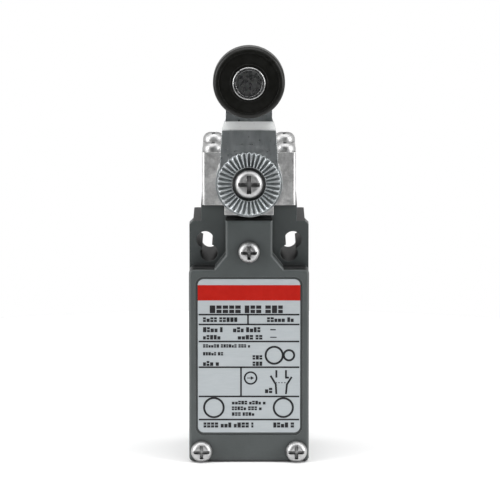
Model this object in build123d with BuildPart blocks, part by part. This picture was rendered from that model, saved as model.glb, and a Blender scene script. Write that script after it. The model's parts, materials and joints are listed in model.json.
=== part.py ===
from build123d import *
from math import pi
import os

os.makedirs("parts", exist_ok=True)

# Limit switch with a roller lever, in millimetres.
# The underside is z = 0, the device faces -Y and its flat mounting side is at y = +15.

# ---- outside dimensions ----
height = 64.2              # underside to the top of the body casting
mounting_y = 15.0          # flat back of the body
rim_y = -11.0              # front of the body, under the gasket
gasket_thickness = 2.0
cover_thickness = 2.0
cover_y = rim_y - gasket_thickness - cover_thickness
body_half = 14.0           # body behind the front rim
rim_half = 14.95
rim_chamfer = 0.9
cover_half = 15.0
rim_depth = 8.0            # how far the wider rim reaches back
shoulder_z = 60.1          # top of the wide part, beside the neck under the head
neck_half = 12.0
back_fillet = 0.8
ledge_z = 49.0             # top of the wide part of the cover
slot_floor_y = -7.5        # face around the fixing slots
tongue_half = 5.85
tongue_z = 61.4
flare_half = 8.7
flare_z = 52.5
outline_fillet = 1.2
rim_inset = 0.15           # body behind the cover's outline
gasket_inset = 0.05
cover_edge = 0.7           # rounding of the cover's front edges

# ---- fixing slots and cable entry ----
fixing_r = 2.15
fixing_wide = (11.0, 55.3)
fixing_narrow = (10.0, 52.0)
entry_minor_r = 9.19
entry_major_r = 10.0
thread_pitch = 1.5
thread_turns = 6
thread_start_z = 0.9
thread_root_half = 0.08    # half the width of a groove at its root
thread_mouth_half = 0.55
floor_z = 10.0             # inside floor of the wiring space
cavity_half = 12.0
cavity_fillet = 1.0
cavity_back_y = 12.0
cavity_top_z = 46.5

# ---- screws ----
screw_r = 1.5
screw_play = 0.1           # radial clearance of a screw's through hole
cover_head_r = 2.65
cover_head_h = 2.0
cover_screw_len = 9.0
top_screw_z = 53.4
low_screw_x = 11.9
low_screw_z = 2.75
head_screw_pitch = 9.0
head_screw_r = 2.7
head_screw_h = 2.35
head_screw_len = 19.0
small_screw_r = 1.2
small_head_r = 2.0
small_head_h = 1.5
back_tapping = 2.2

# ---- operating head ----
axis_y = 3.2               # plunger axis and middle of the head
head_half = 11.7
head_fillet = 0.8
head_top = 77.5
pivot_z = 71.45
barrel_r = 8.0
barrel_front_y = -16.5
tab_half = 6.1
tab_front_y = -15.5
tab_z = 62.8
bush_r = 5.6
bush_back_y = -9.5
seal_back_y = -8.0
seal_wire_r = 0.7
seal_shelf = 0.4           # gap round the shaft behind the seal
chamber_r = 6.2
chamber_back_y = 11.5
cap_back_y = 14.5
head_opening_r = 5.0
running_fit = 0.05

# ---- shaft and lever ----
shaft_r = 4.0
shaft_core_r = 3.5
shaft_front_y = -20.0
shaft_step_y = -6.5
journal_r = 2.5
journal_y = 9.5
journal_end_y = 13.0
cam_r = 5.2
cam_flat = 3.9
cam_width = 5.0
lever_tapping = 8.0
circlip_y = 6.9
circlip_ring = 1.1
circlip_thickness = 1.0
circlip_mouth = 3.2
torsion_mean_r = 4.7
torsion_wire_r = 0.45
torsion_half = 2.9
torsion_y = -2.8
torsion_turns = 4.5
hub_r = 8.3
hub_face_r = 7.6           # toothed face, raised on the hub
hub_face_flare = 0.3
hub_face_taper = 20
hub_rim_y = -21.2
hub_back_y = -17.0
hub_front_y = -22.0
hub_recess_r = 4.2
hub_recess_y = -20.0
tooth_count = 36
tooth_inner_r = 4.3
tooth_outer_r = 8.1
tooth_fill = 0.92          # share of the pitch taken by a gap
tooth_depth = 0.55
arm_thickness = 2.5
arm_front_y = -21.5
arm_step = 3.2
arm_bend_drop = 0.6        # the bend's back lies lower than its front
arm_half_hub = 7.5         # the arm widens towards the hub
arm_half_low = 6.65
arm_half_high = 5.75
step_low_z = 84.7
step_high_z = 86.6
lever_screw_head_r = 3.55
lever_screw_head_h = 2.2
washer_thickness = 0.8
through = 40.0             # long enough to cut right through

# ---- roller ----
roller_z = 97.0
roller_r = 8.85
roller_edge = 1.1
roller_width = 6.0
roller_gap = 0.35
spacer_thickness = 1.0
spacer_r = 4.0
roller_face_r = 7.4
roller_hub_r = 4.65
roller_dish = 0.25
pin_r = 2.5
pin_head_r = 4.05
pin_head_h = 0.9
pin_dish_r = 3.25
pin_dish = 0.3
pin_edge = 0.35
pin_tail = 0.6

# ---- plunger ----
plunger_cap_r = 4.2
plunger_cap_top = 65.9
plunger_cap_low = 63.4
plunger_cap_edge = 0.8
plunger_r = 1.8
plunger_end_z = 44.3
bush_top_z = 55.5
guide_r = 3.4
spring_bore_r = 4.6
spring_mean_r = 3.0
spring_wire_r = 0.4
spring_turns = 5
gasket_inner_r = 5.8
gasket_outer_r = 7.2
gasket_groove = 0.9

# ---- contact block ----
block_half = 11.2
block_front_y = -3.0
block_low_z = 17.0
block_high_z = 43.0
block_fillet = 0.6
block_tapping = 6.0
chamber_half = 6.0
contact_back_y = 9.0
chamber_low_z = 19.0
chamber_high_z = 41.0
lid_thickness = 1.8
lid_play = 0.05
lid_notch = 1.2
carrier_top_z = 44.0
carrier_low_z = 25.5
carrier_play = 0.08
carrier_neck_r = 1.0
return_mean_r = 1.3
return_wire_r = 0.28
return_turns = 6
strip = 0.8                # thickness of the contact strips
strip_half = 1.4
tongue_tip_x = 3.4
leg_x = 6.6
pad_x = 10.8
pad_half = 2.6
nc_z = 35.0
no_z = 25.0
nc_bridge_z = 33.6
no_bridge_z = 28.1
bridge_half = 5.2
tip_r = 1.0
tip_h = 0.3
tip_inset = 1.1
clamp_x = 8.7
block_screw_z = 30.0
clamp_wide = 4.0
clamp_tall = 4.6
clamp_thickness = 0.6
earth_x = 9.0
earth_z = 13.5
earth_plate = 4.4
earth_thickness = 0.8
earth_screw_len = 2.9

# ---- label ----
label_half = 12.8
label_low = 7.5
label_high = 46.5
label_corner = 1.5
label_recess = 0.3
label_margin = 0.6
label_thickness = 0.15


def facing_front(y):
    """Sketch plane at depth y whose normal points at the front."""
    return Plane.XZ.offset(-y)


def box_between(low, high):
    """Block between two opposite corners, as a separate part."""
    size = [b - a for a, b in zip(low, high)]
    middle = [(a + b) / 2 for a, b in zip(low, high)]
    with BuildPart() as block:
        with Locations(tuple(middle)):
            Box(*size)
    return block.part


def pan_screw(head_r, head_h, shank_r, length):
    """Cross-recessed pan-head screw, seated at z = 0 with its head above."""
    recess = head_h * 0.6
    arm = head_r * 1.3
    blade = head_r * 0.34
    slot = head_r * 1.5
    with BuildPart() as screw:
        Cylinder(head_r, head_h, align=(Align.CENTER, Align.CENTER, Align.MIN))
        fillet(screw.edges().group_by(Axis.Z)[-1], head_h * 0.75)
        Cylinder(shank_r, length, align=(Align.CENTER, Align.CENTER, Align.MAX))
        chamfer(screw.edges().group_by(Axis.Z)[0], shank_r * 0.3)
        with BuildSketch(Plane.XY.offset(head_h)):
            Rectangle(arm, blade)
            Rectangle(blade, arm)
        extrude(amount=-recess, mode=Mode.SUBTRACT, taper=8)
        with BuildSketch(Plane.XY.offset(head_h)):
            Rectangle(slot, blade * 0.85)
        extrude(amount=-recess * 0.7, mode=Mode.SUBTRACT)
    return screw.part


def coil(mean_r, wire_r, low_z, high_z, turns):
    """Cylindrical coil spring about the z axis."""
    low = low_z + wire_r
    span = high_z - low_z - 2 * wire_r
    with BuildPart() as spring:
        with BuildLine():
            path = Helix(pitch=span / turns, height=span, radius=mean_r, center=(0, 0, low))
        with BuildSketch(Plane(origin=path @ 0, z_dir=path % 0)):
            Circle(wire_r)
        sweep(path=path)
    return spring.part


def cover_outline(inset):
    """Front outline shared by the cover, its gasket and the body under them."""
    with BuildSketch() as outline:
        with BuildLine():
            side = cover_half - inset
            tongue = tongue_half - inset
            flare = flare_half - inset
            Polyline(
                (-side, inset), (side, inset), (side, ledge_z - inset),
                (flare, ledge_z - inset), (tongue, flare_z), (tongue, tongue_z - inset),
                (-tongue, tongue_z - inset), (-tongue, flare_z), (-flare, ledge_z - inset),
                (-side, ledge_z - inset), close=True,
            )
        make_face()
        corners = [v for v in outline.vertices() if abs(v.X) > side - 0.01]
        fillet(corners, outline_fillet)
    return outline.sketch


# ---- screw patterns ----
cover_screw_spots = [(0, top_screw_z), (-low_screw_x, low_screw_z), (low_screw_x, low_screw_z)]
head_screw_spots = [
    (x * head_screw_pitch, axis_y + y * head_screw_pitch) for x in (-1, 1) for y in (-1, 1)
]
fixing_spots = [(side * x, z) for side in (-1, 1) for x, z in (fixing_wide, fixing_narrow)]
clamp_spots = [(side * clamp_x, z) for side in (-1, 1) for z in (no_z, nc_z)]
block_screw_spots = [(side * clamp_x, block_screw_z) for side in (-1, 1)]

# ---- body casting ----
with BuildPart() as body_housing:
    # Back of the casting, with a narrower neck under the head.
    with BuildSketch(facing_front(mounting_y)):
        with Locations((0, shoulder_z / 2)):
            Rectangle(2 * body_half, shoulder_z)
        with Locations((0, height / 2)):
            Rectangle(2 * neck_half, height)
    extrude(amount=mounting_y - slot_floor_y)
    fillet(body_housing.edges().filter_by(Axis.Z).group_by(Axis.Y)[-1], back_fillet)
    # Wider rim behind the cover.
    with BuildSketch(facing_front(rim_y + rim_depth)) as rim_outline:
        with Locations((0, shoulder_z / 2)):
            Rectangle(2 * rim_half, shoulder_z)
        chamfer(rim_outline.vertices().group_by(Axis.Z)[-1], rim_chamfer)
    extrude(amount=rim_depth + rim_y - slot_floor_y)
    with BuildSketch(facing_front(slot_floor_y)):
        add(cover_outline(rim_inset))
    extrude(amount=slot_floor_y - rim_y)
    # Wiring and contact space, open at the front.
    with BuildSketch(facing_front(cavity_back_y)) as cavity:
        with Locations((0, (floor_z + cavity_top_z) / 2)):
            RectangleRounded(2 * cavity_half, cavity_top_z - floor_z, cavity_fillet)
    extrude(amount=cavity_back_y - rim_y, mode=Mode.SUBTRACT)
    # Fixing holes: two overlapping ones on each side.
    with BuildSketch(facing_front(mounting_y)):
        with Locations(*fixing_spots):
            Circle(fixing_r)
    extrude(amount=mounting_y - slot_floor_y, mode=Mode.SUBTRACT)
    # Threaded cable entry in the underside.
    with BuildSketch(Plane.XY):
        Circle(entry_minor_r)
    extrude(amount=floor_z, mode=Mode.SUBTRACT)
    with BuildSketch(Plane.XZ):
        mouth_r = entry_minor_r - running_fit
        for turn in range(thread_turns):
            with Locations((0, thread_start_z + turn * thread_pitch)):
                Polygon(
                    (mouth_r, -thread_mouth_half), (entry_major_r, -thread_root_half),
                    (entry_major_r, thread_root_half), (mouth_r, thread_mouth_half), align=None,
                )
    revolve(axis=Axis.Z, mode=Mode.SUBTRACT)
    # Plunger bore through the neck.
    with BuildSketch(Plane.XY.offset(cavity_top_z)):
        with Locations((0, axis_y)):
            Circle(guide_r)
    extrude(amount=height - cavity_top_z, mode=Mode.SUBTRACT)
    with BuildSketch(Plane.XY.offset(bush_top_z)):
        with Locations((0, axis_y)):
            Circle(spring_bore_r)
    extrude(amount=height - bush_top_z, mode=Mode.SUBTRACT)
    with BuildSketch(Plane.XY.offset(height)):
        with Locations((0, axis_y)):
            Circle(gasket_outer_r)
            Circle(gasket_inner_r, mode=Mode.SUBTRACT)
    extrude(amount=-gasket_groove, mode=Mode.SUBTRACT)
    # Tapped holes for the cover, head, contact block and earth screws.
    with BuildSketch(facing_front(rim_y)):
        with Locations(*cover_screw_spots):
            Circle(screw_r)
    extrude(amount=-(cover_screw_len - cover_thickness - gasket_thickness), mode=Mode.SUBTRACT)
    with BuildSketch(Plane.XY.offset(height)):
        with Locations(*head_screw_spots):
            Circle(screw_r)
    extrude(amount=-(head_screw_len - (head_top - height)), mode=Mode.SUBTRACT)
    with BuildSketch(facing_front(cavity_back_y)):
        with Locations(*block_screw_spots, (earth_x, earth_z)):
            Circle(small_screw_r)
    extrude(amount=-back_tapping, mode=Mode.SUBTRACT)

# ---- cover, gasket, label ----
label_middle = (0, (label_low + label_high) / 2)

with BuildPart() as cover:
    with BuildSketch(facing_front(rim_y - gasket_thickness)):
        add(cover_outline(0))
    extrude(amount=cover_thickness)
    front_edges = cover.faces().sort_by(Axis.Y)[0].edges()
    fillet(front_edges, cover_edge)
    with BuildSketch(facing_front(cover_y)):
        with Locations(label_middle):
            RectangleRounded(
                2 * (label_half + label_margin), label_high - label_low + 2 * label_margin,
                label_corner + label_margin,
            )
    extrude(amount=-label_recess, mode=Mode.SUBTRACT)
    with BuildSketch(facing_front(cover_y)):
        with Locations(*cover_screw_spots):
            Circle(screw_r + screw_play)
    extrude(amount=-cover_thickness, mode=Mode.SUBTRACT)

with BuildPart() as cover_gasket:
    with BuildSketch(facing_front(rim_y)):
        add(cover_outline(gasket_inset))
        with Locations((0, (floor_z + cavity_top_z) / 2)):
            RectangleRounded(2 * cavity_half, cavity_top_z - floor_z, cavity_fillet,
                             mode=Mode.SUBTRACT)
        with Locations(*cover_screw_spots):
            Circle(screw_r + screw_play, mode=Mode.SUBTRACT)
    extrude(amount=gasket_thickness)

with BuildPart() as rating_label:
    with BuildSketch(facing_front(cover_y + label_recess)):
        with Locations(label_middle):
            RectangleRounded(2 * label_half, label_high - label_low, label_corner)
    extrude(amount=label_thickness)

cover_screw = pan_screw(cover_head_r, cover_head_h, screw_r, cover_screw_len)
with BuildPart() as cover_screws:
    with Locations(facing_front(cover_y)):
        with Locations(*cover_screw_spots):
            add(cover_screw)

# ---- operating head ----
with BuildPart() as head_housing:
    with BuildSketch(Plane.XY.offset(height)):
        with Locations((0, axis_y)):
            Rectangle(2 * head_half, 2 * head_half)
    extrude(amount=head_top - height)
    fillet(head_housing.edges().filter_by(Axis.Z), head_fillet)
    # Round bearing barrel and the square tab under it.
    with BuildSketch(facing_front(cap_back_y)):
        with Locations((0, pivot_z)):
            Circle(barrel_r)
    extrude(amount=cap_back_y - barrel_front_y)
    with BuildSketch(facing_front(axis_y - head_half + 1)):
        with Locations((0, (tab_z + pivot_z) / 2)):
            Rectangle(2 * tab_half, pivot_z - tab_z)
    extrude(amount=axis_y - head_half + 1 - tab_front_y)
    # Flat seat on the body: nothing of the barrel hangs below it.
    add(box_between((-head_half, axis_y - head_half, tab_z - 1),
                    (head_half, mounting_y, height)), mode=Mode.SUBTRACT)
    # Bearing bore, cam space and the opening down to the body.
    with BuildSketch(facing_front(barrel_front_y)):
        with Locations((0, pivot_z)):
            Circle(bush_r)
    extrude(amount=barrel_front_y - seal_back_y, mode=Mode.SUBTRACT)
    with BuildSketch(facing_front(seal_back_y)):
        with Locations((0, pivot_z)):
            Circle(shaft_r + seal_shelf)
    extrude(amount=seal_back_y - shaft_step_y, mode=Mode.SUBTRACT)
    with BuildSketch(facing_front(shaft_step_y)):
        with Locations((0, pivot_z)):
            Circle(chamber_r)
    extrude(amount=shaft_step_y - mounting_y, mode=Mode.SUBTRACT)
    with BuildSketch(Plane.XY.offset(height)):
        with Locations((0, axis_y)):
            Circle(head_opening_r)
    extrude(amount=pivot_z - height, mode=Mode.SUBTRACT)
    with BuildSketch(Plane.XY.offset(height)):
        with Locations(*head_screw_spots):
            Circle(screw_r + screw_play)
    extrude(amount=head_top - height, mode=Mode.SUBTRACT)

with BuildPart() as rear_cap:
    with BuildSketch(facing_front(cap_back_y)):
        with Locations((0, pivot_z)):
            Circle(chamber_r)
    extrude(amount=cap_back_y - chamber_back_y)
    with BuildSketch(facing_front(chamber_back_y)):
        with Locations((0, pivot_z)):
            Circle(journal_r + running_fit)
    extrude(amount=chamber_back_y - journal_end_y - roller_gap, mode=Mode.SUBTRACT)

with BuildPart() as head_gasket:
    with BuildSketch(Plane.XY.offset(height - gasket_groove)):
        with Locations((0, axis_y)):
            Circle(gasket_outer_r)
            Circle(gasket_inner_r, mode=Mode.SUBTRACT)
    extrude(amount=gasket_groove)

head_screw = pan_screw(head_screw_r, head_screw_h, screw_r, head_screw_len)
with BuildPart() as head_screws:
    with Locations(*[(x, y, head_top) for x, y in head_screw_spots]):
        add(head_screw)

with BuildPart() as shaft_bush:
    with BuildSketch(facing_front(bush_back_y)):
        with Locations((0, pivot_z)):
            Circle(bush_r)
            Circle(shaft_r + running_fit, mode=Mode.SUBTRACT)
    extrude(amount=bush_back_y - barrel_front_y)

with BuildPart() as shaft_seal:
    with BuildSketch(Plane.YZ):
        seal_z = pivot_z + shaft_r + running_fit + seal_wire_r
        with Locations(((bush_back_y + seal_back_y) / 2, seal_z)):
            Circle(seal_wire_r)
    revolve(axis=Axis((0, 0, pivot_z), (0, 1, 0)))

# ---- shaft, cam and what turns with the lever ----
with BuildPart() as lever_shaft:
    with BuildSketch(Plane.YZ):
        with Locations((0, pivot_z)):
            Polygon(
                (shaft_front_y, 0), (journal_end_y, 0), (journal_end_y, journal_r),
                (journal_y, journal_r), (journal_y, shaft_core_r), (shaft_step_y, shaft_core_r),
                (shaft_step_y, shaft_r), (shaft_front_y, shaft_r), align=None,
            )
    revolve(axis=Axis((0, 0, pivot_z), (0, 1, 0)))
    with BuildSketch(facing_front(shaft_front_y)):
        with Locations((0, pivot_z)):
            Circle(screw_r)
    extrude(amount=-lever_tapping, mode=Mode.SUBTRACT)

with BuildPart() as cam:
    with BuildSketch(facing_front(axis_y + cam_width / 2)):
        with Locations((0, pivot_z)):
            Circle(cam_r)
            Circle(shaft_core_r, mode=Mode.SUBTRACT)
        with Locations((0, pivot_z - cam_flat - cam_r / 2)):
            Rectangle(2 * cam_r, cam_r, mode=Mode.SUBTRACT)
    extrude(amount=cam_width)

with BuildPart() as shaft_circlip:
    with BuildSketch(facing_front(circlip_y)):
        with Locations((0, pivot_z)):
            Circle(shaft_core_r + circlip_ring)
            Circle(shaft_core_r, mode=Mode.SUBTRACT)
        with Locations((0, pivot_z + shaft_core_r)):
            Rectangle(circlip_mouth, circlip_mouth, mode=Mode.SUBTRACT)
    extrude(amount=circlip_thickness)

with BuildPart() as lever_spring:
    with Locations(Location((0, torsion_y, pivot_z), (90, 0, 0))):
        add(coil(torsion_mean_r, torsion_wire_r, -torsion_half, torsion_half, torsion_turns))

# One gap between two radial teeth, along +X with its mouth at z = 0.
with BuildPart() as tooth_gap:
    for radius in (tooth_inner_r, tooth_outer_r):
        half_pitch = pi * radius / tooth_count * tooth_fill
        with BuildSketch(Plane(origin=(radius, 0, 0), x_dir=(0, 1, 0), z_dir=(1, 0, 0))):
            Polygon((-half_pitch, 0.02), (half_pitch, 0.02), (0, -tooth_depth), align=None)
    loft()

with BuildPart() as lever_arm:
    # Side profile of the stepped arm, thickened across the width.
    with BuildSketch(Plane.YZ) as arm_profile:
        back_low = arm_front_y + arm_thickness
        front_high = arm_front_y + arm_step
        back_high = back_low + arm_step
        arm_top = roller_z + arm_half_high
        Polygon(
            (arm_front_y, pivot_z), (arm_front_y, step_low_z), (front_high, step_high_z),
            (front_high, arm_top), (back_high, arm_top), (back_high, step_high_z - arm_bend_drop),
            (back_low, step_low_z - arm_bend_drop), (back_low, pivot_z), align=None,
        )
    extrude(amount=arm_half_hub, both=True)
    # Front outline trims it: wide at the hub, narrower and rounded at the roller.
    with BuildSketch(facing_front(0)) as arm_outline:
        Polygon(
            (-arm_half_hub, pivot_z), (arm_half_hub, pivot_z), (arm_half_low, step_low_z),
            (arm_half_high, step_high_z + arm_bend_drop), (arm_half_high, roller_z),
            (-arm_half_high, roller_z), (-arm_half_high, step_high_z + arm_bend_drop),
            (-arm_half_low, step_low_z), align=None,
        )
        with Locations((0, roller_z)):
            Circle(arm_half_high)
    extrude(amount=through, mode=Mode.INTERSECT)
    with BuildSketch(facing_front(hub_back_y)):
        with Locations((0, pivot_z)):
            Circle(hub_r)
    extrude(amount=hub_back_y - hub_rim_y)
    with BuildSketch(facing_front(hub_rim_y)):
        with Locations((0, pivot_z)):
            Circle(hub_face_r + hub_face_flare)
    extrude(amount=hub_rim_y - hub_front_y, taper=hub_face_taper)
    # Shaft bore, screw recess, roller pin hole.
    with BuildSketch(facing_front(hub_back_y)):
        with Locations((0, pivot_z)):
            Circle(shaft_r)
    extrude(amount=hub_back_y - shaft_front_y, mode=Mode.SUBTRACT)
    with BuildSketch(facing_front(hub_recess_y)):
        with Locations((0, pivot_z)):
            Circle(hub_recess_r)
    extrude(amount=hub_recess_y - hub_front_y, mode=Mode.SUBTRACT)
    with BuildSketch(facing_front(0)):
        with Locations((0, roller_z)):
            Circle(pin_r)
    extrude(amount=through, mode=Mode.SUBTRACT)
    # Radial teeth on the face of the hub.
    with Locations(Plane(origin=(0, hub_front_y, pivot_z), x_dir=(1, 0, 0), z_dir=(0, -1, 0))):
        with PolarLocations(0, tooth_count):
            add(tooth_gap.part, mode=Mode.SUBTRACT)

with BuildPart() as lever_washer:
    with BuildSketch(facing_front(shaft_front_y)):
        with Locations((0, pivot_z)):
            Circle(shaft_r)
            Circle(screw_r + screw_play, mode=Mode.SUBTRACT)
    extrude(amount=washer_thickness)

with BuildPart() as lever_screw:
    with Locations(facing_front(shaft_front_y - washer_thickness)):
        with Locations((0, pivot_z)):
            add(pan_screw(lever_screw_head_r, lever_screw_head_h, screw_r, lever_tapping))

# ---- roller and its pin ----
roller_back_y = arm_front_y + arm_step - spacer_thickness - roller_gap
roller_front_y = roller_back_y - roller_width
with BuildPart() as roller:
    with BuildSketch(facing_front(roller_back_y)):
        with Locations((0, roller_z)):
            Circle(roller_r)
            Circle(pin_r + running_fit, mode=Mode.SUBTRACT)
    extrude(amount=roller_width)
    rims = roller.edges().filter_by(GeomType.CIRCLE).sort_by(SortBy.RADIUS)[-2:]
    fillet(rims, roller_edge)
    for face_y, depth in ((roller_front_y, -roller_dish), (roller_back_y, roller_dish)):
        with BuildSketch(facing_front(face_y)):
            with Locations((0, roller_z)):
                Circle(roller_face_r)
                Circle(roller_hub_r, mode=Mode.SUBTRACT)
        extrude(amount=depth, mode=Mode.SUBTRACT)

with BuildPart() as roller_spacer:
    with BuildSketch(facing_front(arm_front_y + arm_step)):
        with Locations((0, roller_z)):
            Circle(spacer_r)
            Circle(pin_r, mode=Mode.SUBTRACT)
    extrude(amount=spacer_thickness)

with BuildPart() as roller_pin:
    pin_back_y = arm_front_y + arm_step + arm_thickness + pin_tail
    pin_seat_y = roller_front_y - roller_gap
    with BuildSketch(facing_front(pin_back_y)):
        with Locations((0, roller_z)):
            Circle(pin_r)
    extrude(amount=pin_back_y - pin_seat_y)
    with BuildSketch(facing_front(pin_seat_y)):
        with Locations((0, roller_z)):
            Circle(pin_head_r)
    extrude(amount=pin_head_h)
    fillet(roller_pin.faces().sort_by(Axis.Y)[0].edges(), pin_edge)
    with BuildSketch(facing_front(pin_seat_y - pin_head_h)):
        with Locations((0, roller_z)):
            Circle(pin_dish_r)
    extrude(amount=-pin_dish, mode=Mode.SUBTRACT)

# ---- plunger in the neck ----
with BuildPart() as guide_bush:
    with BuildSketch(Plane.XY.offset(cavity_top_z)):
        with Locations((0, axis_y)):
            Circle(guide_r)
            Circle(plunger_r + running_fit, mode=Mode.SUBTRACT)
    extrude(amount=bush_top_z - cavity_top_z)

with BuildPart() as plunger:
    with BuildSketch(Plane.XY.offset(plunger_end_z)):
        with Locations((0, axis_y)):
            Circle(plunger_r)
    extrude(amount=plunger_cap_low - plunger_end_z)
    with BuildSketch(Plane.XY.offset(plunger_cap_low)):
        with Locations((0, axis_y)):
            Circle(plunger_cap_r)
    extrude(amount=plunger_cap_top - plunger_cap_low)
    fillet(plunger.faces().sort_by(Axis.Z)[-1].edges(), plunger_cap_edge)

with BuildPart() as plunger_spring:
    with Locations((0, axis_y, 0)):
        add(coil(spring_mean_r, spring_wire_r, bush_top_z, plunger_cap_low, spring_turns))

# ---- contact block ----
with BuildPart() as contact_block:
    add(box_between((-block_half, block_front_y, block_low_z),
                    (block_half, cavity_back_y, block_high_z)))
    fillet(contact_block.edges().filter_by(Axis.Y), block_fillet)
    add(box_between((-chamber_half, block_front_y, chamber_low_z),
                    (chamber_half, contact_back_y, chamber_high_z)), mode=Mode.SUBTRACT)
    with BuildSketch(Plane.XY.offset(chamber_high_z)):
        with Locations((0, axis_y)):
            Circle(plunger_r + carrier_play)
    extrude(amount=block_high_z - chamber_high_z, mode=Mode.SUBTRACT)
    # Passages for the terminal legs.
    for side in (-1, 1):
        for z in (no_z, nc_z):
            corners = sorted((side * (chamber_half - 1), side * (leg_x + strip)))
            add(box_between((corners[0], block_front_y, z - strip_half),
                            (corners[1], axis_y + strip_half, z + strip_half)),
                mode=Mode.SUBTRACT)
    with BuildSketch(facing_front(block_front_y)):
        with Locations(*clamp_spots):
            Circle(small_screw_r)
    extrude(amount=-block_tapping, mode=Mode.SUBTRACT)
    with BuildSketch(facing_front(block_front_y)):
        with Locations(*block_screw_spots):
            Circle(small_screw_r)
    extrude(amount=-(cavity_back_y - block_front_y), mode=Mode.SUBTRACT)

with BuildPart() as contact_block_lid:
    lid_back_y = block_front_y + lid_thickness
    add(box_between((-chamber_half + lid_play, block_front_y, chamber_low_z + lid_play),
                    (chamber_half - lid_play, lid_back_y, chamber_high_z - lid_play)))
    for side in (-1, 1):
        for z in (no_z, nc_z):
            corners = sorted((side * (chamber_half - lid_notch), side * chamber_half))
            half = strip_half + 4 * lid_play
            add(box_between((corners[0], block_front_y, z - half),
                            (corners[1], lid_back_y, z + half)), mode=Mode.SUBTRACT)


def terminal(side, z, tip_side):
    """Terminal: clamping pad, leg through the block and contact tongue with its tip."""
    outer = sorted((side * leg_x, side * pad_x))
    leg = sorted((side * leg_x, side * (leg_x + strip)))
    inner = sorted((side * tongue_tip_x, side * (leg_x + strip)))
    tip_low = z + strip / 2 if tip_side > 0 else z - strip / 2 - tip_h
    with BuildPart() as piece:
        add(box_between((outer[0], block_front_y - strip, z - pad_half),
                        (outer[1], block_front_y, z + pad_half)))
        add(box_between((leg[0], block_front_y - strip, z - strip_half),
                        (leg[1], axis_y + strip_half, z + strip_half)))
        add(box_between((inner[0], axis_y - strip_half, z - strip / 2),
                        (inner[1], axis_y + strip_half, z + strip / 2)))
        with BuildSketch(Plane.XY.offset(tip_low)):
            with Locations((side * (tongue_tip_x + tip_inset), axis_y)):
                Circle(tip_r)
        extrude(amount=tip_h)
        with BuildSketch(facing_front(block_front_y - strip)):
            with Locations((side * clamp_x, z)):
                Circle(small_screw_r)
        extrude(amount=-strip, mode=Mode.SUBTRACT)
    return piece.part


def bridge(z):
    """Moving contact bar across the two tongues."""
    with BuildPart() as bar:
        with BuildSketch(Plane.XY.offset(z - strip / 2)):
            with Locations((0, axis_y)):
                SlotOverall(2 * bridge_half, 2 * strip_half)
                Circle(carrier_neck_r, mode=Mode.SUBTRACT)
        extrude(amount=strip)
    return bar.part


nc_terminal_left = terminal(-1, nc_z, -1)
nc_terminal_right = terminal(1, nc_z, -1)
no_terminal_left = terminal(-1, no_z, 1)
no_terminal_right = terminal(1, no_z, 1)
nc_bridge = bridge(nc_bridge_z)
no_bridge = bridge(no_bridge_z)

with BuildPart() as contact_carrier:
    with BuildSketch(Plane.XY.offset(carrier_low_z)):
        with Locations((0, axis_y)):
            Circle(plunger_r)
    extrude(amount=carrier_top_z - carrier_low_z)
    # The bridges sit in two necks of the carrier.
    for z in (nc_bridge_z, no_bridge_z):
        with BuildSketch(Plane.XY.offset(z - strip / 2)):
            with Locations((0, axis_y)):
                Circle(plunger_r)
                Circle(carrier_neck_r, mode=Mode.SUBTRACT)
        extrude(amount=strip, mode=Mode.SUBTRACT)

with BuildPart() as contact_spring:
    with Locations((0, axis_y, 0)):
        add(coil(return_mean_r, return_wire_r, chamber_low_z, carrier_low_z, return_turns))

clamp_screw = pan_screw(small_head_r, small_head_h, small_screw_r, block_tapping)
with BuildPart() as terminal_clamps:
    with BuildSketch(facing_front(block_front_y - strip)):
        with Locations(*clamp_spots):
            Rectangle(clamp_wide, clamp_tall)
            Circle(small_screw_r, mode=Mode.SUBTRACT)
    extrude(amount=clamp_thickness)

with BuildPart() as terminal_screws:
    with Locations(facing_front(block_front_y - strip - clamp_thickness)):
        with Locations(*clamp_spots):
            add(clamp_screw)

block_screw_len = cavity_back_y - block_front_y + back_tapping - screw_play
with BuildPart() as block_screws:
    with Locations(facing_front(block_front_y)):
        with Locations(*block_screw_spots):
            add(pan_screw(small_head_r, small_head_h, small_screw_r, block_screw_len))

with BuildPart() as earth_clamp:
    with BuildSketch(facing_front(cavity_back_y)):
        with Locations((earth_x, earth_z)):
            Rectangle(earth_plate, earth_plate)
            Circle(small_screw_r, mode=Mode.SUBTRACT)
    extrude(amount=earth_thickness)

with BuildPart() as earth_screw:
    with Locations(facing_front(cavity_back_y - earth_thickness)):
        with Locations((earth_x, earth_z)):
            add(pan_screw(small_head_r, small_head_h, small_screw_r, earth_screw_len))

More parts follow.
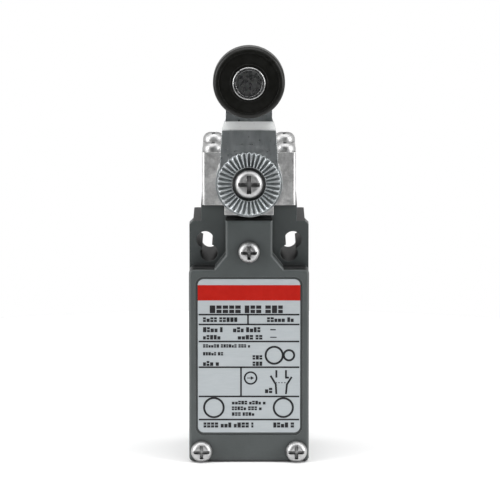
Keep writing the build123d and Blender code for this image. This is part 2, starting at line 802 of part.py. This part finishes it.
# ---- one file per piece ----
pieces = {
    "body_housing": body_housing.part,
    "cover": cover.part,
    "cover_gasket": cover_gasket.part,
    "rating_label": rating_label.part,
    "cover_screws": cover_screws.part,
    "head_housing": head_housing.part,
    "rear_cap": rear_cap.part,
    "head_gasket": head_gasket.part,
    "head_screws": head_screws.part,
    "shaft_bush": shaft_bush.part,
    "shaft_seal": shaft_seal.part,
    "lever_shaft": lever_shaft.part,
    "cam": cam.part,
    "shaft_circlip": shaft_circlip.part,
    "lever_spring": lever_spring.part,
    "lever_arm": lever_arm.part,
    "lever_washer": lever_washer.part,
    "lever_screw": lever_screw.part,
    "roller": roller.part,
    "roller_spacer": roller_spacer.part,
    "roller_pin": roller_pin.part,
    "guide_bush": guide_bush.part,
    "plunger": plunger.part,
    "plunger_spring": plunger_spring.part,
    "contact_block": contact_block.part,
    "contact_block_lid": contact_block_lid.part,
    "nc_terminal_left": nc_terminal_left,
    "nc_terminal_right": nc_terminal_right,
    "no_terminal_left": no_terminal_left,
    "no_terminal_right": no_terminal_right,
    "nc_bridge": nc_bridge,
    "no_bridge": no_bridge,
    "contact_carrier": contact_carrier.part,
    "contact_spring": contact_spring.part,
    "terminal_clamps": terminal_clamps.part,
    "terminal_screws": terminal_screws.part,
    "block_screws": block_screws.part,
    "earth_clamp": earth_clamp.part,
    "earth_screw": earth_screw.part,
}
for name, piece in pieces.items():
    piece.label = name
    export_step(piece, f"parts/{name}.step")
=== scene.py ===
import json
import math
import random

import bmesh
import bpy
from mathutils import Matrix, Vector


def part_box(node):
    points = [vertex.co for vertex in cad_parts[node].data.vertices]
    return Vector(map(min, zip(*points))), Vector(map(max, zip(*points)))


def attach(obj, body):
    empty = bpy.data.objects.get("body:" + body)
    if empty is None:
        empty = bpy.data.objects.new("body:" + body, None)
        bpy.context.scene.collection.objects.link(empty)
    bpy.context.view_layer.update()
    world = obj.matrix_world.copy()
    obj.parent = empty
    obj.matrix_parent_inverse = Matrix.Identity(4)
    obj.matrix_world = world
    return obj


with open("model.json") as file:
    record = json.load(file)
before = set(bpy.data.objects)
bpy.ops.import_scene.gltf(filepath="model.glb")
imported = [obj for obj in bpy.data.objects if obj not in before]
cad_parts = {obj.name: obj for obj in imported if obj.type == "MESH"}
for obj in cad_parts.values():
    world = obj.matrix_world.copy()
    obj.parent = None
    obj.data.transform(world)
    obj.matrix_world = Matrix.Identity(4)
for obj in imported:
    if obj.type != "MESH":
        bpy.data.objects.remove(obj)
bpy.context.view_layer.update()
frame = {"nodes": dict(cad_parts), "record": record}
MM = 0.001


# ---------------------------------------------------------------- camera
def place_towards(thing, place, target):
    """Put a camera or a light at a place and turn it to a target."""
    thing.location = place
    thing.rotation_euler = (target - thing.location).to_track_quat("-Z", "Y").to_euler()
    bpy.context.collection.objects.link(thing)


CAMERA_DISTANCE = 1.0
CAMERA_LIFT = math.radians(9.3)
CAMERA_NEAR = 0.01
FRAME_HEIGHT = 124.5 * MM      # height of the view at the front of the cover
SENSOR = 36.0
AIM_X = 0.25 * MM
AIM_Z = 53.9 * MM
COVER_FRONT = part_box("cover")[0][1]

aim = Vector((AIM_X, COVER_FRONT, AIM_Z))
towards_camera = Vector((0, -math.cos(CAMERA_LIFT), math.sin(CAMERA_LIFT)))
camera_data = bpy.data.cameras.new("camera")
camera_data.sensor_width = SENSOR
camera_data.lens = SENSOR * CAMERA_DISTANCE / FRAME_HEIGHT
camera_data.clip_start = CAMERA_NEAR
camera = bpy.data.objects.new("camera", camera_data)
place_towards(camera, aim + towards_camera * CAMERA_DISTANCE, aim)
bpy.context.scene.camera = camera

# ---------------------------------------------------------------- node tools
MIX_FACTOR, MIX_A, MIX_B, MIX_COLOUR_OUT = 0, 6, 7, 2      # sockets of a Mix node set to colour
FACE_FLAT, FACE_ROUNDED = 0.985, 0.80      # cosines between a face and the rounded surface
OPEN_LIGHT, SHUT_LIGHT = 0.92, 0.30        # share of open sky seen by a free and a tight spot
DULL_END, BRIGHT_END = 0.3, 0.7            # the middle of a noise, where most of its values lie


class Nodes:
    """Short hand for building a node tree."""

    def __init__(self, tree):
        self.tree = tree
        self.coordinates = self.add("ShaderNodeTexCoord").outputs

    def add(self, kind, **settings):
        node = self.tree.nodes.new(kind)
        for key, value in settings.items():
            setattr(node, key, value)
        return node

    def link(self, source, target):
        self.tree.links.new(source, target)

    def feed(self, socket, value):
        """Give an input a link, a colour or a number."""
        if isinstance(value, tuple):
            socket.default_value = (*value, 1)
        elif isinstance(value, (int, float)):
            socket.default_value = value
        else:
            self.link(value, socket)

    def ramp(self, value, stops):
        """Colour or grey ramp; stops are (position, colour or level)."""
        node = self.add("ShaderNodeValToRGB")
        elements = node.color_ramp.elements
        while len(elements) < len(stops):
            elements.new(0.5)
        for element, (position, colour) in zip(elements, stops):
            element.position = position
            level = colour if isinstance(colour, tuple) else (colour,) * 3
            element.color = (*level, 1)
        self.link(value, node.inputs["Fac"])
        return node.outputs["Color"]

    def between(self, noise, low, high):
        """From low to high across the middle of a noise."""
        return self.ramp(noise, [(DULL_END, low), (BRIGHT_END, high)])

    def math(self, operation, *values):
        node = self.add("ShaderNodeMath", operation=operation)
        for socket, value in zip(node.inputs, values):
            self.feed(socket, value)
        return node.outputs["Value"]

    def times(self, a, b):
        return self.math("MULTIPLY", a, b)

    def within(self, value, low, high):
        """1 where the value lies between the limits, else 0."""
        return self.math("COMPARE", value, (low + high) / 2, (high - low) / 2)

    def mix(self, factor, a, b, blend="MIX"):
        node = self.add("ShaderNodeMix", data_type="RGBA", blend_type=blend)
        for index, value in ((MIX_FACTOR, factor), (MIX_A, a), (MIX_B, b)):
            self.feed(node.inputs[index], value)
        return node.outputs[MIX_COLOUR_OUT]

    def split(self, vector):
        node = self.add("ShaderNodeSeparateXYZ")
        self.link(vector, node.inputs[0])
        return node.outputs


class Surface(Nodes):
    """One material: tools for its pattern, masks and shader."""

    def __init__(self, name):
        self.material = bpy.data.materials.new(name)
        self.material.use_nodes = True
        super().__init__(self.material.node_tree)
        self.shader = self.tree.nodes["Principled BSDF"]
        self.place = self.coordinates["Object"]

    def set(self, **values):
        for key, value in values.items():
            self.shader.inputs[key.replace("_", " ")].default_value = value

    def colour(self, socket):
        self.link(socket, self.shader.inputs["Base Color"])

    def roughness(self, socket):
        self.link(socket, self.shader.inputs["Roughness"])

    def scaled(self, size, stretch):
        """Object coordinates with one unit every `size` metres."""
        node = self.add("ShaderNodeMapping")
        node.inputs["Scale"].default_value = [s / size for s in stretch]
        self.link(self.place, node.inputs["Vector"])
        return node.outputs["Vector"]

    def noise(self, size, detail=3.0, rough=0.55, stretch=(1, 1, 1), distort=0.0):
        node = self.add("ShaderNodeTexNoise")
        node.inputs["Scale"].default_value = 1.0
        node.inputs["Detail"].default_value = detail
        node.inputs["Roughness"].default_value = rough
        node.inputs["Distortion"].default_value = distort
        self.link(self.scaled(size, stretch), node.inputs["Vector"])
        return node.outputs["Fac"]

    def facing(self):
        """The X, Y and Z of the way a face points."""
        return self.split(self.add("ShaderNodeNewGeometry").outputs["Normal"])

    def edge(self, radius):
        """1 on convex and concave edges, 0 on open faces; materials use it to paint a highlight along
        edges.
        """
        bevel = self.add("ShaderNodeBevel", samples=4)
        bevel.inputs["Radius"].default_value = radius
        dot = self.add("ShaderNodeVectorMath", operation="DOT_PRODUCT")
        self.link(bevel.outputs["Normal"], dot.inputs[0])
        self.link(self.add("ShaderNodeNewGeometry").outputs["Normal"], dot.inputs[1])
        return self.ramp(dot.outputs["Value"], [(FACE_ROUNDED, 1.0), (FACE_FLAT, 0.0)])

    def crevice(self, reach):
        """1 in tight corners and gaps, 0 on open faces; materials use it to paint shade there."""
        node = self.add("ShaderNodeAmbientOcclusion", samples=8)
        node.inputs["Distance"].default_value = reach
        return self.ramp(node.outputs["AO"], [(SHUT_LIGHT, 1.0), (OPEN_LIGHT, 0.0)])

    def bump(self, height, distance, strength, soft_edge=None):
        """Bump in metres of height, over rounded edges if soft_edge is given."""
        node = self.add("ShaderNodeBump")
        node.inputs["Distance"].default_value = distance
        node.inputs["Strength"].default_value = strength
        self.link(height, node.inputs["Height"])
        if soft_edge:
            bevel = self.add("ShaderNodeBevel", samples=6)
            bevel.inputs["Radius"].default_value = soft_edge
            self.link(bevel.outputs["Normal"], node.inputs["Normal"])
        self.link(node.outputs["Normal"], self.shader.inputs["Normal"])


# ---------------------------------------------------------------- regions that materials ask for
# The stepped bend of the lever, as shares of the way from its shaft to its roller; the lever material
# paints a highlight there.
BEND_FROM, BEND_TO = 0.515, 0.610
bush_low, bush_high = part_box("shaft_bush")
pin_low, pin_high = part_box("roller_pin")
PIVOT_Z = (bush_low[2] + bush_high[2]) / 2
ROLLER_Z = (pin_low[2] + pin_high[2]) / 2
BEND_LOW = PIVOT_Z + BEND_FROM * (ROLLER_Z - PIVOT_Z)
BEND_HIGH = PIVOT_Z + BEND_TO * (ROLLER_Z - PIVOT_Z)

# The fixing holes through the body, from the record's mounts.
HOLE_MARGIN = 0.4 * MM
HOLE_MOUTH = 3.55 * MM         # from the body's front rim to just behind the holes' front ends
mounts = {mount["name"]: mount for mount in frame["record"]["mounts"]}
outer_holes, inner_holes = mounts["fixing_holes_22"], mounts["fixing_holes_20"]
body_low, body_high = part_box("body_housing")
HOLE_ROOM = outer_holes["dims"]["hole_r_mm"] * MM + HOLE_MARGIN
HOLES_IN = inner_holes["dims"]["spacing_x_mm"] * MM / 2 - HOLE_ROOM
HOLES_OUT = outer_holes["dims"]["spacing_x_mm"] * MM / 2 + HOLE_ROOM
HOLES_LOW = inner_holes["pos_m"][2] - HOLE_ROOM
HOLES_HIGH = outer_holes["pos_m"][2] + HOLE_ROOM
HOLES_FRONT = body_low[1] + HOLE_MOUTH
HOLES_BACK = body_high[1]


def hole_walls(m):
    """1 on the walls of the fixing holes, 0 elsewhere; the paint is given painted shade there."""
    x, y, z = m.split(m.place)
    mask = m.within(m.math("ABSOLUTE", x), HOLES_IN, HOLES_OUT)
    mask = m.times(mask, m.within(z, HOLES_LOW, HOLES_HIGH))
    mask = m.times(mask, m.within(y, HOLES_FRONT, HOLES_BACK))
    return m.times(mask, m.within(m.facing()[1], -0.5, 0.5))


# ---------------------------------------------------------------- materials
def painted_casting(name):
    """Slate-grey stoved paint: fine orange peel, a painted highlight on edges, painted shade in corners,
    and painted shade with a duller finish on upward faces and on the walls of the fixing holes.
    """
    m = Surface(name)
    tone = m.between(m.noise(9 * MM), (0.046, 0.053, 0.053), (0.056, 0.064, 0.064))
    speck = m.ramp(m.noise(0.25 * MM, detail=2), [(0.60, 0.0), (0.78, 0.35)])
    specked = m.mix(speck, tone, (0.085, 0.095, 0.095))
    # painted highlight: edges lightened
    edge_lit = m.mix(m.times(m.edge(0.16 * MM), 0.55), specked, (0.17, 0.185, 0.185))
    # painted shade: tight corners and gaps darkened towards near black
    corner_shaded = m.mix(m.times(m.crevice(1.6 * MM), 0.8), edge_lit, (0.008, 0.009, 0.009))
    # painted shade: upward faces and the walls of the fixing holes turn near black; there the paint is
    # also made rougher and less glossy
    upward_shade = m.ramp(m.facing()[2], [(0.60, 0.0), (0.95, 0.88)])
    shaded_matte = m.math("MAXIMUM", hole_walls(m), upward_shade)
    m.colour(m.mix(shaded_matte, corner_shaded, (0.006, 0.006, 0.006)))
    m.roughness(m.mix(shaded_matte, m.between(m.noise(3 * MM), 0.40, 0.54), (0.45, 0.45, 0.45)))
    m.link(m.ramp(shaded_matte, [(0.0, 0.5), (1.0, 0.06)]), m.shader.inputs["Specular IOR Level"])
    peel = m.noise(0.55 * MM, detail=4, rough=0.6)
    m.bump(peel, 0.022 * MM, 0.9, soft_edge=0.25 * MM)
    return m.material


def bare_casting(name, dark, light):
    """Unpainted zinc casting: cloudy patches, flow marks, a fine grain and a painted highlight along the
    edges.
    """
    m = Surface(name)
    cloud = m.noise(3.4 * MM, detail=6, rough=0.7, distort=0.8)
    patch = m.ramp(cloud, [(0.34, (dark, dark, dark * 1.005)), (0.62, (light, light, light * 0.99))])
    grain = m.ramp(m.noise(0.5 * MM), [(0.35, 0.78), (0.65, 1.0)])
    toned = m.mix(0.7, patch, grain, blend="MULTIPLY")
    # painted highlight: edges lightened
    m.colour(m.mix(m.times(m.edge(0.25 * MM), 0.6), toned, (0.88, 0.88, 0.87)))
    m.roughness(m.between(m.noise(1.3 * MM, detail=4), 0.30, 0.48))
    m.set(Metallic=0.8)
    m.bump(m.noise(1.1 * MM, detail=4, rough=0.6), 0.05 * MM, 0.8, soft_edge=0.2 * MM)
    return m.material


def lever_metal(name):
    """Dark passivated zinc of the lever, streaked along its length; a painted highlight on its edges and
    on the bend's up- and forward-facing faces, painted shade in its corners.
    """
    m = Surface(name)
    streak = m.noise(1.6 * MM, detail=5, stretch=(1, 1, 0.3))
    tone = m.between(streak, (0.36, 0.385, 0.395), (0.50, 0.53, 0.54))
    # painted highlight: the lever's edges lightened
    edge_lit = m.mix(m.times(m.edge(0.16 * MM), 0.4), tone, (0.74, 0.76, 0.77))
    # painted shade: the lever's corners and gaps darkened
    corner_shaded = m.mix(m.times(m.crevice(0.9 * MM), 0.35), edge_lit, (0.08, 0.085, 0.085))
    # painted highlight: up- and forward-facing faces of the bend turn pale and less metallic
    height = m.split(m.place)[2]
    along = m.math("DIVIDE", m.math("SUBTRACT", height, BEND_LOW), BEND_HIGH - BEND_LOW)
    band = m.ramp(along, [(0.0, 0.0), (0.18, 1.0), (0.80, 1.0), (1.0, 0.0)])
    facing = m.facing()
    up_and_forward = m.times(m.within(facing[2], 0.3, 0.9), m.within(facing[1], -0.99, -0.3))
    bend_highlight = m.times(band, up_and_forward)
    m.colour(m.mix(bend_highlight, corner_shaded, (0.93, 0.945, 0.94)))
    m.link(m.ramp(bend_highlight, [(0.0, 0.92), (1.0, 0.30)]), m.shader.inputs["Metallic"])
    m.roughness(m.between(m.noise(0.9 * MM), 0.27, 0.38))
    m.bump(m.noise(0.9 * MM, detail=2, stretch=(1, 1, 0.4)), 0.006 * MM, 0.6, soft_edge=0.15 * MM)
    return m.material


def smooth_metal(name, level, rough, tint=1.0):
    """Plated or bare metal: faint tool marks, a painted highlight on the edges, painted shade in
    recesses; tint below 1 yellows it.
    """
    m = Surface(name)
    dark = level * 0.8
    tone = m.between(m.noise(0.9 * MM, detail=4), (dark, dark, dark * tint), (level, level, level * tint))
    # painted highlight: edges lightened
    edge_lit = m.mix(m.times(m.edge(0.12 * MM), 0.4), tone, (0.80, 0.80, 0.80))
    # painted shade: recesses darkened
    m.colour(m.mix(m.times(m.crevice(1.1 * MM), 0.7), edge_lit, (0.06, 0.06, 0.06)))
    m.roughness(m.between(m.noise(0.8 * MM), rough * 0.85, rough * 1.3))
    m.set(Metallic=1.0)
    m.bump(m.noise(0.8 * MM, detail=2), 0.004 * MM, 0.5, soft_edge=0.08 * MM)
    return m.material


def moulded(name, low, high, rough, texture=0.010 * MM, shine=0.5):
    """Moulded plastic or rubber with a fine spark-eroded texture."""
    m = Surface(name)
    m.colour(m.between(m.noise(2.5 * MM, detail=4), low, high))
    m.set(Specular_IOR_Level=shine)
    m.roughness(m.between(m.noise(1.0 * MM), rough * 0.85, rough * 1.2))
    m.bump(m.noise(0.35 * MM), texture, 0.7, soft_edge=0.15 * MM)
    return m.material


def label_foil(name):
    """Silvered label stock with a very fine brushed grain."""
    m = Surface(name)
    grain = m.noise(0.3 * MM, detail=2, stretch=(0.12, 1, 1))
    m.colour(m.between(grain, (0.358, 0.388, 0.404), (0.385, 0.412, 0.428)))
    m.roughness(m.between(m.noise(2 * MM), 0.36, 0.46))
    m.set(Metallic=0.10)
    m.bump(grain, 0.003 * MM, 0.4)
    return m.material


def printed_ink(name, low, high, rough=0.35):
    """Screen-printed ink with slight density changes."""
    m = Surface(name)
    m.colour(m.between(m.noise(1.4 * MM, detail=5), low, high))
    m.roughness(m.between(m.noise(0.6 * MM), rough * 0.85, rough * 1.2))
    m.set(Specular_IOR_Level=0.2)
    m.bump(m.noise(0.3 * MM, detail=2), 0.003 * MM, 0.4)
    return m.material


MATERIALS = {
    "grey_paint": painted_casting("painted_casting"),
    "bare_zinc": bare_casting("bare_casting", dark=0.42, light=0.72),
    "bare_zinc_cap": bare_casting("bare_casting_cap", dark=0.40, light=0.66),
    "lever_zinc": lever_metal("lever_metal"),
    "plated_steel": smooth_metal("plated_metal", level=0.50, rough=0.42),
    "pin_steel": smooth_metal("pin_metal", level=0.42, rough=0.26),
    "spring_steel": smooth_metal("spring_wire", level=0.45, rough=0.30),
    "bronze": smooth_metal("sintered_bronze", level=0.55, rough=0.42, tint=0.55),
    "brass_strip": smooth_metal("stamped_brass", level=0.72, rough=0.28, tint=0.42),
    "black_rubber": moulded("nitrile_rubber", (0.012,) * 3, (0.022,) * 3, rough=0.62),
    "black_nylon": moulded(
        "roller_nylon", (0.004, 0.004, 0.003), (0.008, 0.008, 0.007),
        rough=0.38, texture=0.006 * MM, shine=0.25,
    ),
    "moulded_cam": moulded("natural_acetal", (0.62, 0.60, 0.54), (0.72, 0.70, 0.64), rough=0.40),
    "block_plastic": moulded("phenolic", (0.018,) * 3, (0.030,) * 3, rough=0.45),
    "lid_plastic": moulded("lid_moulding", (0.55, 0.55, 0.51), (0.64, 0.64, 0.60), rough=0.38),
    "label_foil": label_foil("label_foil"),
}
BLACK_INK = printed_ink("black_ink", (0.010, 0.010, 0.011), (0.022, 0.022, 0.024))
RED_INK = printed_ink("red_ink", (0.345, 0.006, 0.002), (0.385, 0.009, 0.004))
for part in frame["record"]["subparts"]:
    node = frame["nodes"][part["node"]]
    node.data.materials.clear()
    node.data.materials.append(MATERIALS[part["material_slot"]])

# ---------------------------------------------------------------- printed label
INK_THICKNESS = 0.012 * MM
INK_GAP = 0.004 * MM           # keeps the ink's back off the label's own face
SEED = 7                       # for the dummy type
label_low, label_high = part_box("rating_label")
label_x = (label_low[0] + label_high[0]) / 2
label_z = (label_low[2] + label_high[2]) / 2
half_wide = (label_high[0] - label_low[0]) / 2 / MM
half_tall = (label_high[2] - label_low[2]) / 2 / MM

# Line widths in millimetres.
RULE = 0.42
STAMP = 0.52
WIRE = 0.48
FINE = 0.2
ARROW = 0.22
RULE_INSET = 0.2               # from the label's edges to the ends of a rule


class Print:
    """Flat ink shapes on the label, in millimetres from its centre."""

    def __init__(self, name, ink):
        self.name = name
        self.ink = ink
        self.draw = random.Random(SEED)
        self.mesh = bmesh.new()

    def outline(self, points):
        back = label_low[1] - INK_GAP
        loops = []
        for depth in (back, back - INK_THICKNESS):
            loops.append([
                self.mesh.verts.new((label_x + x * MM, depth, label_z + z * MM))
                for x, z in points
            ])
        count = len(points)
        self.mesh.faces.new(loops[1])
        self.mesh.faces.new(loops[0][::-1])
        for i in range(count):
            j = (i + 1) % count
            self.mesh.faces.new((loops[0][i], loops[0][j], loops[1][j], loops[1][i]))

    def bar(self, x0, x1, z0, z1):
        self.outline([(x0, z0), (x1, z0), (x1, z1), (x0, z1)])

    def stroke(self, a, b, width):
        along = Vector((b[0] - a[0], b[1] - a[1])).normalized()
        side = Vector((-along.y, along.x)) * width / 2
        self.outline([
            (a[0] - side.x, a[1] - side.y), (b[0] - side.x, b[1] - side.y),
            (b[0] + side.x, b[1] + side.y), (a[0] + side.x, a[1] + side.y),
        ])

    def ring(self, x, z, radius, width, steps=40):
        inner, outer = radius - width / 2, radius + width / 2
        for i in range(steps):
            start, end = (2 * math.pi * (i + k) / steps for k in (0, 1))
            self.outline([
                (x + inner * math.cos(start), z + inner * math.sin(start)),
                (x + outer * math.cos(start), z + outer * math.sin(start)),
                (x + outer * math.cos(end), z + outer * math.sin(end)),
                (x + inner * math.cos(end), z + inner * math.sin(end)),
            ])

    def words(self, x0, x1, top, bottom, letter):
        """A row of dummy type between two drops below the label's top: blocks, no letters."""
        low, high = half_tall - bottom, half_tall - top
        height = high - low
        x = x0
        left = self.draw.randint(3, 6)
        while x + letter * 0.5 < x1:
            end = min(x + letter * self.draw.uniform(0.70, 0.86), x1)
            kind = self.draw.choice(("split", "split", "short", "full"))
            if kind == "split":
                self.bar(x, end, low, low + height * 0.44)
                self.bar(x, end, high - height * 0.44, high)
            else:
                self.bar(x, end, low, low + height * (0.72 if kind == "short" else 1.0))
            x = end + letter * 0.17
            left -= 1
            if left == 0:
                x += letter * 0.45
                left = self.draw.randint(3, 6)

    def rule(self, drop):
        z = half_tall - drop
        self.bar(RULE_INSET - half_wide, half_wide - RULE_INSET, z - RULE / 2, z + RULE / 2)

    def upright(self, x, top, bottom):
        self.bar(x - RULE / 2, x + RULE / 2, half_tall - bottom, half_tall - top)

    def done(self):
        bmesh.ops.recalc_face_normals(self.mesh, faces=self.mesh.faces)
        data = bpy.data.meshes.new(self.name)
        self.mesh.to_mesh(data)
        data.materials.append(self.ink)
        piece = bpy.data.objects.new(self.name, data)
        bpy.context.collection.objects.link(piece)
        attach(piece, "housing")


# Everything on the label is placed by its drop from the label's top edge.
BAND = (1.5, 5.4)
red = Print("label_red_band", RED_INK)
red.bar(-half_wide, half_wide, half_tall - BAND[1], half_tall - BAND[0])
red.done()

# Rules and uprights divide the label into fields.
RULES = (8.97, 11.47, 15.8, 22.35, 29.8, 35.7)
RATING_UPRIGHT_X = -0.25
CIRCUIT_UPRIGHT_X = -2.0
black = Print("label_print", BLACK_INK)
for drop in RULES:
    black.rule(drop)
black.upright(RATING_UPRIGHT_X, RULES[0], RULES[1])
black.upright(CIRCUIT_UPRIGHT_X, RULES[3], RULES[4])

# Rows of dummy type: (left, right, top drop, bottom drop, width of one block).
ROWS = (
    (-9.8, 9.9, 6.65, 8.6, 1.62),
    (-11.5, -2.9, 9.65, 10.85, 0.98), (4.5, 11.3, 9.65, 10.85, 0.98),
    (-11.5, -6.6, 12.15, 13.45, 1.0), (-4.0, 3.5, 12.15, 13.45, 1.0),
    (-11.5, -6.6, 14.15, 15.3, 1.0), (-2.8, 3.5, 14.15, 15.3, 1.0),
    (-11.5, 0.6, 16.5, 17.35, 0.72), (-11.5, -6.3, 18.5, 19.35, 0.72),
    (-11.5, -7.2, 20.75, 22.0, 0.98),
    (-4.3, 4.6, 30.9, 31.85, 0.80), (-4.3, 3.5, 32.35, 33.3, 0.80), (-4.3, 2.0, 33.85, 34.75, 0.80),
    (-11.4, 1.1, 36.45, 37.75, 1.02), (6.1, 11.3, 36.45, 37.75, 1.02),
)
MARK_ROWS = ((0.9, 3.4, 19.3, 20.4, 0.9), (0.9, 3.4, 20.9, 22.0, 0.9))
CIRCUIT_ROW = (4.0, 5.9, 27.6, 28.95, 1.0)
for row in ROWS:
    black.words(*row)

# Plain dashes after two rows: (left, right, top drop, bottom drop).
for left, right, top, bottom in ((5.3, 6.7, 12.65, 12.95), (5.3, 6.9, 14.60, 14.85)):
    black.bar(left, right, half_tall - bottom, half_tall - top)

# Blank rings where approval marks would be: (x, drop, radius).
BLANK_MARKS = ((6.3, 19.3, 2.15), (10.0, 19.3, 1.3), (-8.8, 32.65, 2.45), (8.6, 32.65, 2.4))
for x, drop, radius in BLANK_MARKS:
    black.ring(x, half_tall - drop, radius, STAMP)
for row in MARK_ROWS:
    black.words(*row)

# Arrow in a ring: the plain drawing symbol for a positively driven contact.
SIGN_RADIUS = 1.5
ARROW_HALF, HEAD_FROM, HEAD_HALF = 0.85, 0.05, 0.5
sign_x, sign_z = 0.4, half_tall - 25.1
black.ring(sign_x, sign_z, SIGN_RADIUS, RULE)
black.stroke((sign_x - ARROW_HALF, sign_z), (sign_x + HEAD_FROM + 0.15, sign_z), ARROW)
black.outline([
    (sign_x + HEAD_FROM, sign_z - HEAD_HALF), (sign_x + ARROW_HALF, sign_z),
    (sign_x + HEAD_FROM, sign_z + HEAD_HALF),
])

# Circuit drawing: one contact that opens and one that closes, joined by a dashed link.
STUB = 1.9
DASH, DASH_PITCH, DASHES = 0.4, 0.72, 4
top, foot = half_tall - 23.1, half_tall - 29.2
opens, closes = 6.85, 9.25
joint_z = foot + 2.5
black.stroke((opens, top), (opens, top - STUB), WIRE)
black.stroke((closes, top), (closes, top - STUB), WIRE)
black.stroke((closes - 0.2, top - STUB), (closes + 0.75, top - STUB), WIRE)
black.stroke((opens, foot), (opens - 0.15, joint_z), WIRE)
black.stroke((opens - 0.1, joint_z - 0.1), (opens - 1.45, joint_z + 2.2), WIRE)
black.stroke((closes, foot), (closes + 0.25, joint_z), WIRE)
black.stroke((closes + 0.2, joint_z - 0.1), (closes + 1.45, joint_z + 1.9), WIRE)
for step in range(DASHES):
    dash = opens - 0.25 + DASH_PITCH * step
    black.stroke((dash, joint_z + 0.4), (dash + DASH, joint_z + 0.4), FINE)
black.words(*CIRCUIT_ROW)
black.done()

# ---------------------------------------------------------------- studio
FLOOR_RADIUS = 0.20
FLOOR_DROP = 0.1 * MM          # keeps the floor off the underside's own face
TOWARDS_CAMERA_SIDE = Vector((0, -1, -0.12)).normalized()
LIGHT_AIM = Vector((0, 0, 0.055))


def paper_floor():
    """Pale round sheet that the switch stands on."""
    mesh = bpy.data.meshes.new("floor")
    disc = bmesh.new()
    bmesh.ops.create_circle(disc, cap_ends=True, segments=96, radius=FLOOR_RADIUS)
    disc.to_mesh(mesh)
    floor = bpy.data.objects.new("floor", mesh)
    floor.location.z = -FLOOR_DROP
    bpy.context.collection.objects.link(floor)
    paper = Surface("floor_paper")
    paper.colour(paper.between(paper.noise(60 * MM), 0.93, 0.95))
    paper.set(Roughness=0.9)
    mesh.materials.append(paper.material)


def studio_world():
    """The camera sees white; the object sees a pale room, dimmer above and dark in front."""
    world = bpy.data.worlds.new("studio")
    bpy.context.scene.world = world
    world.use_nodes = True
    sky = Nodes(world.node_tree)
    direction = sky.coordinates["Generated"]
    toward = sky.add("ShaderNodeVectorMath", operation="DOT_PRODUCT")
    sky.link(direction, toward.inputs[0])
    toward.inputs[1].default_value = TOWARDS_CAMERA_SIDE
    front = sky.ramp(toward.outputs["Value"], [(0.30, 0.80), (0.78, (0.03, 0.032, 0.033))])
    overhead = sky.ramp(sky.split(direction)[2], [(0.45, 1.0), (0.85, 0.35)])
    room = sky.tree.nodes["Background"]
    sky.link(sky.mix(1.0, front, overhead, blend="MULTIPLY"), room.inputs["Color"])
    backdrop = sky.add("ShaderNodeBackground")
    backdrop.inputs["Color"].default_value = (1, 1, 1, 1)
    either = sky.add("ShaderNodeMixShader")
    sky.link(sky.add("ShaderNodeLightPath").outputs["Is Camera Ray"], either.inputs["Fac"])
    sky.link(room.outputs["Background"], either.inputs[1])
    sky.link(backdrop.outputs["Background"], either.inputs[2])
    sky.link(either.outputs["Shader"], sky.tree.nodes["World Output"].inputs["Surface"])


def softbox(name, place, size, power):
    data = bpy.data.lights.new(name, "AREA")
    data.shape = "RECTANGLE"
    data.size, data.size_y = size
    data.energy = power
    light = bpy.data.objects.new(name, data)
    place_towards(light, place, LIGHT_AIM)
    light.visible_camera = False


paper_floor()
studio_world()
softbox("top_light", Vector((0.0, -0.12, 0.95)), size=(1.2, 0.8), power=8)
for name, side in (("left_light", -1), ("right_light", 1)):
    softbox(name, Vector((0.8 * side, -0.35, 0.30)), size=(0.35, 0.9), power=6.8)
bpy.context.scene.view_settings.view_transform = "Standard"
